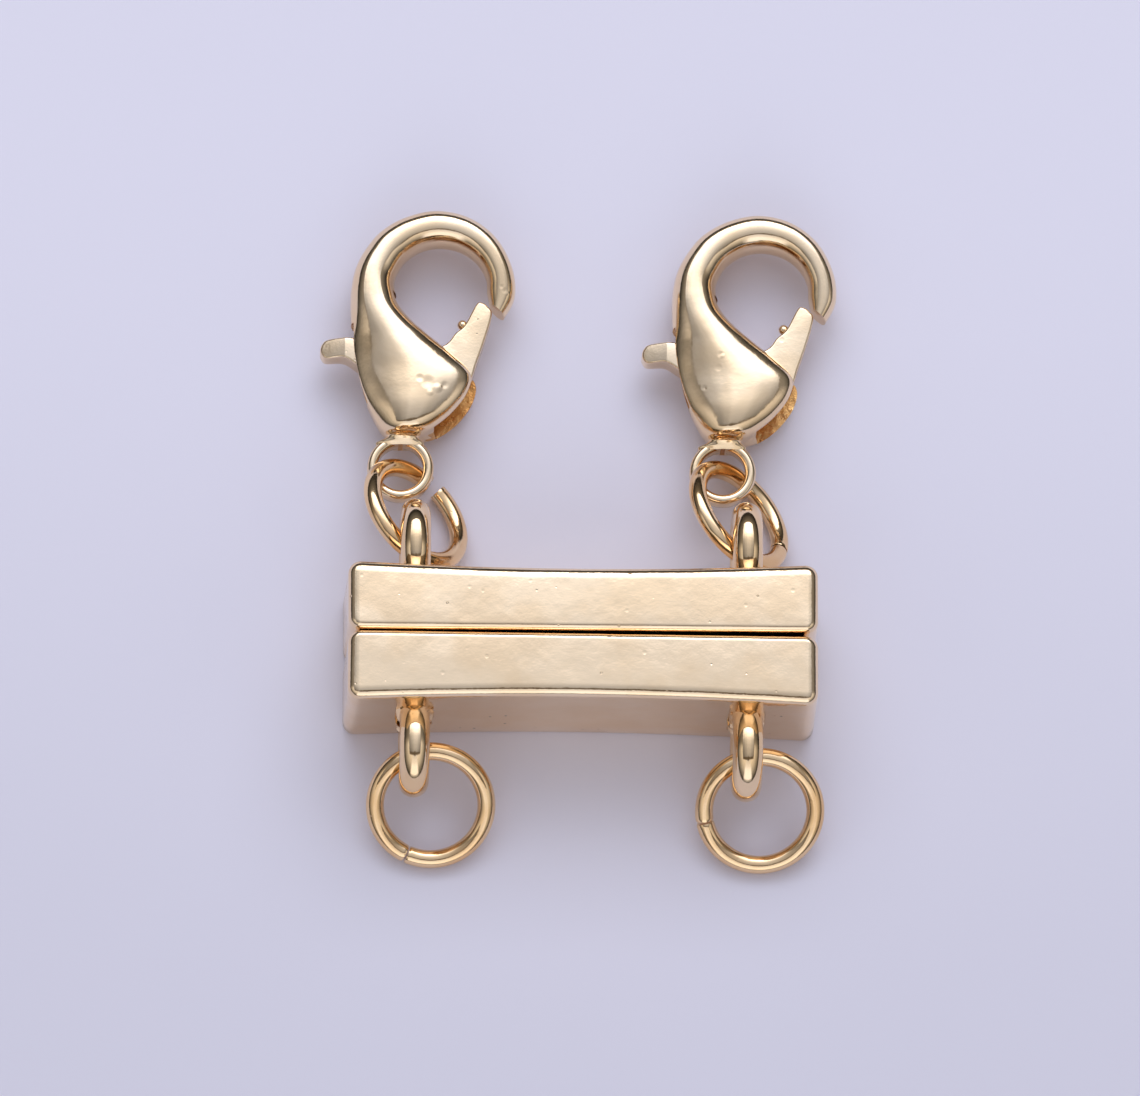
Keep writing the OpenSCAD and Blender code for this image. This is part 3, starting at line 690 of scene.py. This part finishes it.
def ringTree():
    tree = bpy.data.node_groups.new("jumpRingWire", "GeometryNodeTree")
    face = tree.interface
    face.new_socket("Geometry", in_out="OUTPUT", socket_type="NodeSocketGeometry")
    for name in ("Ring Radius", "Wire Radius", "Cut Angle"):
        face.new_socket(name, in_out="INPUT", socket_type="NodeSocketFloat")
    face.new_socket("Finish", in_out="INPUT", socket_type="NodeSocketMaterial")
    given = addNode(tree, "NodeGroupInput").outputs
    arc = addNode(tree, "GeometryNodeCurveArc")
    arc.inputs["Resolution"].default_value = ring["along"]
    tree.links.new(given["Ring Radius"], arc.inputs["Radius"])
    sweep = calc(tree, "SUBTRACT", 2 * math.pi, given["Cut Angle"])
    tree.links.new(sweep, arc.inputs["Sweep Angle"])
    # the wire is nipped a little at its two cut ends
    along = addNode(tree, "GeometryNodeSplineParameter").outputs["Factor"]
    nearEnd = calc(tree, "MINIMUM", along, calc(tree, "SUBTRACT", 1.0, along))
    nip = addNode(tree, "ShaderNodeMapRange", interpolation_type="SMOOTHSTEP")
    nipped = (("From Min", 0.0), ("From Max", ring["nipRun"]), ("To Min", ring["nipShare"]), ("To Max", 1.0))
    for name, number in nipped:
        nip.inputs[name].default_value = number
    tree.links.new(nearEnd, nip.inputs["Value"])
    wire = addNode(tree, "GeometryNodeCurvePrimitiveCircle")
    wire.inputs["Resolution"].default_value = ring["around"]
    tree.links.new(given["Wire Radius"], wire.inputs["Radius"])
    tube = addNode(tree, "GeometryNodeCurveToMesh")
    tube.inputs["Fill Caps"].default_value = True
    radius = addNode(tree, "GeometryNodeSetCurveRadius")
    tree.links.new(arc.outputs["Curve"], radius.inputs["Curve"])
    tree.links.new(nip.outputs["Result"], radius.inputs["Radius"])
    tree.links.new(radius.outputs["Curve"], tube.inputs["Curve"])
    tree.links.new(wire.outputs["Curve"], tube.inputs["Profile Curve"])
    if "Scale" in tube.inputs:
        tree.links.new(nip.outputs["Result"], tube.inputs["Scale"])
    smooth = addNode(tree, "GeometryNodeSetShadeSmooth")
    tree.links.new(tube.outputs["Mesh"], smooth.inputs["Geometry"])
    real = addNode(tree, "GeometryNodeRealizeInstances")
    tree.links.new(smooth.outputs["Geometry"], real.inputs["Geometry"])
    paint = addNode(tree, "GeometryNodeSetMaterial")
    tree.links.new(real.outputs["Geometry"], paint.inputs["Geometry"])
    tree.links.new(given["Finish"], paint.inputs["Material"])
    out = addNode(tree, "NodeGroupOutput")
    tree.links.new(paint.outputs["Geometry"], out.inputs["Geometry"])
    return tree


wireTree = ringTree()


def makeRing(name, node, body, middle, lean, tilt, cut, split):
    host = bpy.data.objects.new(name + "Host", bpy.data.meshes.new(name + "Host"))
    scene.collection.objects.link(host)
    sweep = host.modifiers.new("wire", "NODES")
    sweep.node_group = wireTree
    openAngle = split / ringMean
    values = {"Ring Radius": ringMean * mm, "Wire Radius": ring["wire"] / 2 * mm,
              "Cut Angle": openAngle, "Finish": gold["wireGold"]}
    for item in wireTree.interface.items_tree:
        if item.in_out == "INPUT":
            sweep[item.identifier] = values[item.name]
    mesh = bpy.data.meshes.new_from_object(host.evaluated_get(bpy.context.evaluated_depsgraph_get()))
    bpy.data.objects.remove(host)
    turn = Matrix.Rotation(lean, 4, "Z") @ Matrix.Rotation(tilt, 4, "Y")
    turn = turn @ Matrix.Rotation(math.radians(cut) - lean + openAngle / 2, 4, "Z")
    mesh.transform(Matrix.Translation(Vector(middle) * mm) @ turn)
    outwards(mesh)
    dressMesh(name, mesh, ("wireGold",), body, node)


def lowerRing(node, side, aside, cut):
    swing = math.asin(aside / ringMean)
    pull = math.radians(ring["pullAt"])
    crossZ = loop["height"] - loopPlay * math.cos(pull)
    tilt = math.asin((crossZ - ring["wire"] / 2 - ring["restGap"]) / (ringMean * (1 + math.cos(swing))))
    reach = loop["stand"] + bar["depth"] + loopPlay * math.sin(pull)
    reach += ringMean * math.cos(swing) * math.cos(tilt)
    # mirrored across the seam, so the tilt and the cut change sides
    low = ring["wire"] / 2 + ring["restGap"]
    middle = placeLower((side * loopX + aside, reach, low + ringMean * math.sin(tilt)))
    lean = math.radians(-90 - bar["skew"])
    makeRing(camel(node), node, "lower_half", middle, lean, tilt, -cut - bar["skew"], ring["split"])


def camel(node):
    first, *rest = node.split("_")
    return first + "".join(word.capitalize() for word in rest)


def inLoop(row):
    return Vector((row[0] * loopX, loopY + row[1][0] * loopPlay, loop["height"] + row[1][1] * loopPlay))


def clawEye(row):  # the claws hang from their rings, so the eye's place follows from the ring's chord
    start = inLoop(row)
    shiftX, shiftY = row[2][0] * eyePlay, row[2][1] * eyePlay
    x = row[0] * (loopX - claw["inward"]) - claw["left"]
    z = claw["thick"] / 2
    chord = row[3] * 2 * ringMean
    run = math.sqrt(chord ** 2 - (x + shiftX - start.x) ** 2 - (z - start.z) ** 2)
    return Vector((x, start.y + run - shiftY, z))


def upperRing(node, row):
    start = inLoop(row)
    end = clawEye(row) + Vector((row[2][0] * eyePlay, row[2][1] * eyePlay, 0))
    chord = end - start
    along = chord.normalized()
    level = along.cross(Vector((0, 0, 1))).normalized()
    up = level.cross(along)
    roll = math.radians(row[4])
    away = level * math.cos(roll) + up * math.sin(roll)
    axis = away.cross(along).normalized()
    if axis.z < 0:
        axis = -axis
    middle = (start + end) / 2 + away * math.sqrt(ringMean ** 2 - (chord.length / 2) ** 2)
    middle.y -= upperMid
    split = ring["gape"] if node == "upper_ring_left" else ring["split"]
    lean, tilt = math.atan2(axis.y, axis.x), math.acos(axis.z)
    makeRing(camel(node), node, "upper_half", middle, lean, tilt, row[5], split)


for node, row in ring["lower"].items():
    lowerRing(node, *row)
for node, row in ring["upper"].items():
    upperRing(node, row)
print("jump rings made")

# Lobster claws
eyeMid = (claw["eyeOuter"] + claw["eyeHole"]) / 4
clawReach = claw["length"] - claw["eyeOuter"] / 2 - eyeMid
hookOuter, hookInner = (0.223, 0.667, 0.474, 0.333), (0.243, 0.667, 0.284, 0.183)
hookRows = [
    (-6, 0.250, 2.5, 2.3), (15, 0.285, 2.5, 2.2), (40, 0.315, 2.6, 2.1), (65, 0.335, 2.6, 2.1),
    (90, 0.345, 2.6, 2.1), (114, 0.352, 2.6, 2.1),
]
noseRow = (0.630, 0.543, 0.540, 0.597, 0.220, 2.4, 2.4, 0)
# outer x and y, inner x and y, half thickness, squareness outside and inside, lower cheek's overhang
bellyRows = [
    (-0.118, 0.912, 0.032, 0.789, 0.360, 2.6, 2.1, 0),
    (-0.212, 0.836, -0.018, 0.735, 0.370, 2.6, 2.1, 0),
    (-0.276, 0.752, -0.038, 0.690, 0.385, 2.6, 2.1, 0),
    (-0.303, 0.664, -0.030, 0.640, 0.400, 2.6, 2.2, 0),
    (-0.308, 0.590, 0.000, 0.575, 0.414, 2.6, 2.4, 0),
    (-0.304, 0.515, 0.075, 0.508, 0.431, 2.6, 2.8, 0),
    (-0.297, 0.440, 0.190, 0.436, 0.448, 2.5, 3.2, 0.004),
    (-0.287, 0.368, 0.318, 0.362, 0.466, 2.4, 3.6, 0.020),
    (-0.268, 0.296, 0.424, 0.282, 0.483, 2.4, 3.8, 0.036),
    (-0.236, 0.212, 0.402, 0.196, 0.499, 2.4, 3.6, 0.046),
    (-0.190, 0.128, 0.312, 0.112, 0.500, 2.4, 3.2, 0.054),
    (-0.142, 0.062, 0.214, 0.052, 0.452, 2.4, 3.0, 0.050),
    (-0.106, 0.032, 0.150, 0.026, 0.376, 2.4, 2.7, 0.040),
    (-0.088, 0.018, 0.116, 0.015, 0.256, 2.4, 2.6, 0.026),
    (-0.104, 0.006, 0.118, 0.005, 0.218, 2.8, 2.8, 0.008),
    (-0.148, -0.008, 0.142, -0.008, 0.190, 3.0, 3.0, 0),
    (-0.143, -0.022, 0.143, -0.022, 0.165, 3.4, 3.4, 0),
]
slotPlan = [
    (-0.070, 0.650), (-0.160, 0.590), (-0.222, 0.500), (-0.500, 0.492), (-0.500, 0.190),
    (-0.180, 0.150), (-0.050, 0.098), (0.150, 0.088), (0.235, 0.020), (0.600, 0.020),
    (0.600, 0.440), (0.300, 0.480), (0.030, 0.610),
]
nub = {"plan": (0.378, 0.522), "width": 0.42, "height": 0.5}
leverPlan = [
    (0.458, 0.588), (0.496, 0.594), (0.528, 0.576), (0.552, 0.542), (0.505, 0.425), (0.456, 0.325),
    (0.425, 0.262), (0.330, 0.175), (0.210, 0.118), (0.080, 0.112), (-0.040, 0.170),
    (-0.160, 0.262), (-0.275, 0.322), (-0.350, 0.352), (-0.450, 0.352), (-0.480, 0.366),
    (-0.490, 0.390), (-0.478, 0.416), (-0.440, 0.434), (-0.310, 0.438), (-0.190, 0.420),
    (0.020, 0.385), (0.250, 0.405), (0.330, 0.460), (0.390, 0.500),
]
# a section is a pair of cheeks where its inside is squarer than the first number, fully so after the span
cheek = {
    "square": 2.3, "span": 0.9, "bow": 0.6, "rim": 20,
    "backUpright": 0.46, "backCurve": (1.6, 0.75), "lowerIn": 0.15,
}
tab = {"from": -0.34, "slope": 19.0}
leverEdge = {"width": 0.09, "segments": 6, "angle": 50}
flank = {"below": -0.2, "facing": 0.3, "from": 0.02, "to": 0.37}  # the part of the lower cheek given the rougher cast finish, its dark orange colour painted shade and painted reflection
clawSteps = {"betweenRows": 7, "around": 56, "eyeAround": 96, "eyeProfile": 20}


def plan(point):
    return (point[0] * claw["width"], eyeMid + point[1] * clawReach)


def planRow(row):
    return (*plan(row[0:2]), *plan(row[2:4]), row[4] * claw["thick"], row[5], row[6], row[7] * claw["width"])


def hookRow(row):
    a = math.radians(row[0])
    outer = plan((hookOuter[0] + hookOuter[2] * math.cos(a), hookOuter[1] + hookOuter[3] * math.sin(a)))
    inner = plan((hookInner[0] + hookInner[2] * math.cos(a), hookInner[1] + hookInner[3] * math.sin(a)))
    return (*outer, *inner, row[1] * claw["thick"], row[2], row[3], 0.0)


def between(a, b, c, d, t):  # a smooth curve through four points, from the second to the third
    def blend(p, q, r, s):
        square, cube = 2 * p - 5 * q + 4 * r - s, 3 * q - p - 3 * r + s
        return (2 * q + (r - p) * t + square * t * t + cube * t ** 3) / 2

    return tuple(blend(*values) for values in zip(a, b, c, d))


def smoothRows(rows, steps):
    last = len(rows) - 1
    made = [between(rows[max(i - 1, 0)], rows[i], rows[i + 1], rows[min(i + 2, last)], j / steps)
            for i in range(last) for j in range(steps)]
    return made + [rows[last]]


def power(value, p):
    return math.copysign(abs(value) ** (2 / p), value)


def inside(t):  # height of a cheek across its width, from the ridge (0) to the rim (1)
    return math.sqrt(1 - cheek["bow"] * t * t) * max(0.0, 1 - t ** cheek["rim"]) ** (1 / 6)


def outside(t):  # and to the back
    curve = cheek["backCurve"]
    if t > 0.999:
        return 0.0
    return cheek["backUpright"] + (1 - cheek["backUpright"]) * (1 - t ** curve[0]) ** curve[1]


def section(row):
    outer, inner = Vector(row[0:2]), Vector(row[2:4])
    mid, half = (outer + inner) / 2, (outer - inner) / 2
    across = half.normalized()
    share = min(max((row[6] - cheek["square"]) / cheek["span"], 0.0), 1.0)
    points = []
    for i in range(clawSteps["around"]):
        a = -2 * math.pi * i / clawSteps["around"]
        square = row[5] if math.cos(a) > 0 else row[6]
        c, s = power(math.cos(a), square), power(math.sin(a), square)
        shaped = math.copysign(inside(-c) if c < 0 else outside(c), s)
        s += (shaped - s) * share
        lower = min(1.0, 2 * max(0.0, -s))
        shift = lower * (row[7] * max(0.0, -c) + cheek["lowerIn"] * share * max(0.0, c))
        p = mid + half * c - across * shift
        points.append((p.x, p.y, row[4] * s))
    return points


def clawShell():
    rows = [planRow(noseRow)] + [hookRow(r) for r in hookRows] + [planRow(r) for r in bellyRows]
    rings = [section(row) for row in smoothRows(rows, clawSteps["betweenRows"])]
    around = clawSteps["around"]
    points = [p for points in rings for p in points]
    faces = skinFaces(len(rings), around)
    faces.append(tuple(range(around - 1, -1, -1)))
    last = (len(rings) - 1) * around
    faces.append(tuple(range(last, last + around)))
    return points, faces


def eyeShell():
    wall = (claw["eyeOuter"] - claw["eyeHole"]) / 2
    straight = (claw["eyeThick"] - wall) / 2
    profile = []
    n = clawSteps["eyeProfile"]
    for i in range(n):
        a = 2 * math.pi * (i + 0.5) / n
        high = wall / 2 * math.sin(a) + math.copysign(straight, math.sin(a))
        profile.append((eyeMid + wall / 2 * math.cos(a), high))
    points = []
    for j in range(clawSteps["eyeAround"]):
        b = 2 * math.pi * j / clawSteps["eyeAround"]
        points += [(rho * math.cos(b), rho * math.sin(b), z) for rho, z in profile]
    return points, skinFaces(clawSteps["eyeAround"], n, closed=True)


def meshOf(name, points, faces, origin):
    mesh = bpy.data.meshes.new(name)
    mesh.from_pydata([(Vector(p) + origin) * mm for p in points], [], faces)
    outwards(mesh)
    return mesh


def prism(name, outline, low, high, origin):
    count = len(outline)
    points = [(x, y, low) for x, y in outline] + [(x, y, high) for x, y in outline]
    faces = [tuple(range(count - 1, -1, -1)), tuple(range(count, 2 * count))]
    faces += [(i, (i + 1) % count, count + (i + 1) % count, count + i) for i in range(count)]
    return meshOf(name, points, faces, origin)


def softened(mesh, width, segments, angle):
    holder = bpy.data.objects.new("softened", mesh)
    scene.collection.objects.link(holder)
    edge = holder.modifiers.new("edge", "BEVEL")
    edge.width, edge.segments, edge.limit_method = width * mm, segments, "ANGLE"
    edge.angle_limit = math.radians(angle)
    edge.harden_normals = False
    done = bpy.data.meshes.new_from_object(holder.evaluated_get(bpy.context.evaluated_depsgraph_get()))
    bpy.data.objects.remove(holder)
    return done


def makeClaw(side, name, row):
    origin = clawEye(row) - Vector((0, upperMid, 0))
    body = meshOf("clawShell", *clawShell(), origin)
    # faces of the left claw's lower cheek take the cast finish, with painted shade and painted reflection in
    # its colour
    for face in body.polygons:
        middle = face.center / mm - origin
        low = middle.z < flank["below"] and face.normal.x > flank["facing"] and middle.x > 0
        low = low and plan((0, flank["from"]))[1] < middle.y < plan((0, flank["to"]))[1]
        face.material_index = 1 if low and side == "left" else 0
    slot = prism("slot", [plan(p) for p in slotPlan], -claw["slot"] / 2, claw["slot"] / 2, origin)
    # the slot's walls take the cast finish, with painted shade and painted reflection in its colour
    for face in slot.polygons:
        face.material_index = 1
    for mesh in (body, slot):
        for material in ("clawGold", "castGoldPaintedShade"):
            mesh.materials.append(gold[material])
    body = cutMesh(body, slot)
    eye = meshOf("eyeShell", *eyeShell(), origin)
    hole = bmesh.new()
    radius = claw["eyeHole"] / 2
    bmesh.ops.create_cone(hole, cap_ends=True, segments=clawSteps["eyeAround"], radius1=radius,
                          radius2=radius, depth=2 * claw["thick"], matrix=Matrix.Translation(origin))
    for vertex in hole.verts:
        vertex.co = vertex.co * mm
    holeMesh = bpy.data.meshes.new("eyeHole")
    # the eye's hole takes the cast finish, with painted shade and painted reflection in its colour
    for face in hole.faces:
        face.material_index = 1
    hole.to_mesh(holeMesh)
    hole.free()
    for mesh in (eye, holeMesh):
        for material in ("clawGold", "castGoldPaintedShade"):
            mesh.materials.append(gold[material])
    body = cutMesh(body, eye, "UNION")
    body = cutMesh(body, holeMesh)
    dressMesh(name, body, (side + "ClawGold", "castGoldPaintedShade"), "upper_half", "claw_body_" + side, 40)


def roundedOutline(plans, steps):
    points = [plan(p) for p in plans]
    count = len(points)
    made = []
    for i in range(count):
        a, b, c, d = (points[(i + k) % count] for k in (-1, 0, 1, 2))
        made += [between(a, b, c, d, j / steps) for j in range(steps)]
    return made


def slopeTab(mesh, origin):  # the thumb tab's top falls away outwards
    start = plan((tab["from"], 0))[0] + origin.x
    work = bmesh.new()
    work.from_mesh(mesh)
    bmesh.ops.bisect_plane(work, geom=work.verts[:] + work.edges[:] + work.faces[:],
                           plane_co=(start * mm, 0, 0), plane_no=(1, 0, 0))
    for vertex in work.verts:
        past = start - vertex.co.x / mm
        if past > 0 and vertex.co.z / mm > origin.z:
            vertex.co.z -= past * math.tan(math.radians(tab["slope"])) * mm
    work.to_mesh(mesh)
    work.free()


def makeLever(side, name, row):
    origin = clawEye(row) - Vector((0, upperMid, 0))
    thick = claw["slot"] - 2 * claw["leverClear"]
    plate = prism("leverPlate", roundedOutline(leverPlan, 8), -thick / 2, thick / 2, origin)
    slopeTab(plate, origin)
    plate = softened(plate, leverEdge["width"], leverEdge["segments"], leverEdge["angle"])
    dot = bmesh.new()
    x, y = plan(nub["plan"])
    middle = origin + Vector((x, y, -thick / 2 + nub["height"] / 2))
    bmesh.ops.create_uvsphere(dot, u_segments=20, v_segments=12, radius=nub["width"] / 2 * mm,
                              matrix=Matrix.Translation(middle * mm))
    dotMesh = bpy.data.meshes.new("nub")
    dot.to_mesh(dotMesh)
    dot.free()
    plate = cutMesh(plate, dotMesh, "UNION")
    dressMesh(name, plate, ("leverGold",), "lever_" + side, "claw_lever_" + side, 18)


for side in ("left", "right"):
    row = ring["upper"]["upper_ring_" + side]
    makeClaw(side, "clawBody" + side.capitalize(), row)
    makeLever(side, "clawLever" + side.capitalize(), row)
print("claws and levers made")
